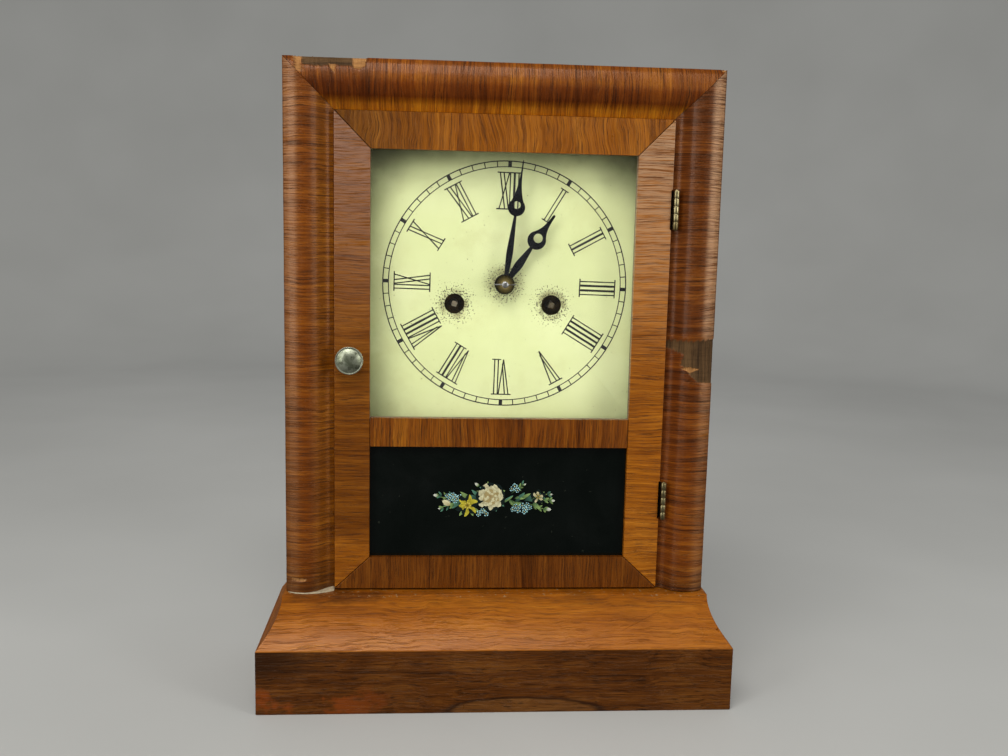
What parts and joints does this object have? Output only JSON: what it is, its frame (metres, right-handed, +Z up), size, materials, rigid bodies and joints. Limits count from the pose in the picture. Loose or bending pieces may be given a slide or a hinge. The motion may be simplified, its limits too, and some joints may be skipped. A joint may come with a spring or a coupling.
{
  "type": "ogee shelf clock",
  "caption": "Ogee-moulded wooden shelf clock with a glazed door, Roman dial, black flowered tablet, spring movement, coil gong and pendulum.",
  "frame": {"origin": "centre of the footprint at the underside of the plinth", "axes": "+Z up, the door and dial face -Y, +X to the right seen from the front"},
  "size_m": [0.2966, 0.1154, 0.396],
  "materials": {
    "rosewood_veneer": "gloss",
    "case_pine": "satin",
    "brass": "satin",
    "blued_steel": "satin",
    "steel": "satin",
    "spring_steel": "satin",
    "dial_paint": "satin",
    "window_glass": "gloss",
    "black_tablet": "gloss",
    "pewter": "satin",
    "grey_putty": "matte",
    "cast_iron": "matte"
  },
  "bodies": {
    "case": {"base_front": "rosewood_veneer", "base_left": "rosewood_veneer", "base_right": "rosewood_veneer", "case_floor_board": "case_pine", "case_left_side": "case_pine", "case_right_side": "case_pine", "case_top_board": "case_pine", "backboard": "case_pine", "moulding_left": "rosewood_veneer", "moulding_right": "rosewood_veneer", "moulding_top": "rosewood_veneer", "upper_hinge_case_leaf": "brass", "lower_hinge_case_leaf": "brass", "dial_rail_left": "case_pine", "dial_rail_right": "case_pine", "dial_plate": "dial_paint", "dial_screw_1": "steel", "dial_screw_2": "steel", "dial_screw_3": "steel", "dial_screw_4": "steel", "movement_front_plate": "brass", "movement_back_plate": "brass", "time_mainspring": "spring_steel", "strike_mainspring": "spring_steel", "gong_coil": "spring_steel", "gong_block": "cast_iron"},
    "door": {"door_stile_left": "rosewood_veneer", "door_stile_right": "rosewood_veneer", "door_rail_top": "rosewood_veneer", "door_rail_middle": "rosewood_veneer", "door_rail_bottom": "rosewood_veneer", "upper_glass": "window_glass", "upper_glazing_bead": "grey_putty", "lower_tablet": "black_tablet", "lower_glazing_bead": "grey_putty", "upper_hinge_door_leaf": "brass", "lower_hinge_door_leaf": "brass"},
    "latch": {"door_knob": "pewter", "latch_hook": "brass"},
    "minute_hand_and_arbor": {"minute_hand": "blued_steel", "hand_washer": "brass", "hand_pin": "steel", "minute_arbor": "steel"},
    "hour_hand_and_pipe": {"hour_hand": "blued_steel", "hour_wheel": "brass"},
    "minute_wheel_body": {"minute_wheel": "brass"},
    "time_winding": {"time_winding_arbor": "steel"},
    "time_great": {"time_great_wheel": "brass"},
    "centre": {"centre_wheel": "brass"},
    "third": {"third_wheel": "brass"},
    "escape": {"escape_wheel": "brass"},
    "verge_body": {"verge": "steel"},
    "pendulum": {"pendulum_rod": "steel", "pendulum_bob": "brass"},
    "strike_winding": {"strike_winding_arbor": "steel"},
    "strike_great": {"strike_great_wheel": "brass"},
    "strike_pins": {"strike_pin_wheel": "brass"},
    "strike_warning": {"strike_warning_wheel": "brass"},
    "fly": {"strike_fly": "brass"},
    "hammer": {"strike_hammer": "steel"}
  },
  "joints": [
    {"name": "door_swing", "type": "hinge", "parent": "case", "child": "door", "pos_m": [0.10435, -0.0353, 0.218], "axis": [0, 0, 1], "range_deg": [0, 150]},
    {"name": "latch_turn", "type": "hinge", "parent": "door", "child": "latch", "pos_m": [-0.0926, -0.0263, 0.2181], "axis": [0, 1, 0], "range_deg": [0, 90]},
    {"name": "minute_turn", "type": "hinge", "parent": "case", "child": "minute_hand_and_arbor", "pos_m": [0.0017, -0.0143, 0.2646], "axis": [0, 1, 0], "continuous": true},
    {"name": "hour_turn", "type": "hinge", "parent": "case", "child": "hour_hand_and_pipe", "pos_m": [0.0017, -0.0163, 0.2646], "axis": [0, 1, 0], "continuous": true},
    {"name": "minute_wheel_turn", "type": "hinge", "parent": "case", "child": "minute_wheel_body", "pos_m": [-0.00958, -0.0123, 0.2687], "axis": [0, 1, 0], "continuous": true},
    {"name": "time_winding_turn", "type": "hinge", "parent": "case", "child": "time_winding", "pos_m": [0.0317, 0.0157, 0.2518], "axis": [0, 1, 0], "continuous": true},
    {"name": "third_turn", "type": "hinge", "parent": "case", "child": "third", "pos_m": [0.00539, 0.0157, 0.28553], "axis": [0, 1, 0], "continuous": true},
    {"name": "time_great_turn", "type": "hinge", "parent": "case", "child": "time_great", "pos_m": [0.0317, 0.0017, 0.2518], "axis": [0, 1, 0], "continuous": true},
    {"name": "centre_turn", "type": "hinge", "parent": "case", "child": "centre", "pos_m": [0.0017, 0.0157, 0.2646], "axis": [0, 1, 0], "continuous": true},
    {"name": "escape_turn", "type": "hinge", "parent": "case", "child": "escape", "pos_m": [0.01686, 0.0157, 0.2992], "axis": [0, 1, 0], "continuous": true},
    {"name": "pendulum_swing", "type": "hinge", "parent": "case", "child": "pendulum", "pos_m": [0.01686, -0.0078, 0.3205], "axis": [0, 1, 0], "range_deg": [-3.2, 3.2]},
    {"name": "verge_rock", "type": "hinge", "parent": "case", "child": "verge_body", "pos_m": [0.01686, 0.0057, 0.3144], "axis": [0, 1, 0], "range_deg": [-4.6, 4.6]},
    {"name": "strike_winding_turn", "type": "hinge", "parent": "case", "child": "strike_winding", "pos_m": [-0.0292, 0.0157, 0.2518], "axis": [0, 1, 0], "continuous": true},
    {"name": "strike_warning_turn", "type": "hinge", "parent": "case", "child": "strike_warning", "pos_m": [-0.02386, 0.0157, 0.30088], "axis": [0, 1, 0], "continuous": true},
    {"name": "strike_great_turn", "type": "hinge", "parent": "case", "child": "strike_great", "pos_m": [-0.0292, 0.0057, 0.2518], "axis": [0, 1, 0], "continuous": true},
    {"name": "strike_pin_turn", "type": "hinge", "parent": "case", "child": "strike_pins", "pos_m": [-0.02076, 0.0157, 0.2833], "axis": [0, 1, 0], "continuous": true},
    {"name": "fly_turn", "type": "hinge", "parent": "case", "child": "fly", "pos_m": [-0.03708, 0.0157, 0.29607], "axis": [0, 1, 0], "continuous": true},
    {"name": "hammer_lift", "type": "hinge", "parent": "case", "child": "hammer", "pos_m": [-0.018, 0.0157, 0.2205], "axis": [0, 1, 0], "range_deg": [0, 14]}
  ],
  "couplings": [
    {"joint": "minute_wheel_turn", "follows": "minute_turn", "ratio": -0.33333},
    {"joint": "hour_turn", "follows": "minute_turn", "ratio": 0.083333},
    {"joint": "centre_turn", "follows": "third_turn", "ratio": -0.089744},
    {"joint": "time_great_turn", "follows": "third_turn", "ratio": 0.0074786},
    {"joint": "escape_turn", "follows": "third_turn", "ratio": -11.143},
    {"joint": "verge_rock", "follows": "pendulum_swing", "ratio": 1.27},
    {"joint": "strike_pin_turn", "follows": "strike_warning_turn", "ratio": -0.089744},
    {"joint": "strike_great_turn", "follows": "strike_warning_turn", "ratio": 0.0074786},
    {"joint": "fly_turn", "follows": "strike_warning_turn", "ratio": -8.5714}
  ]
}
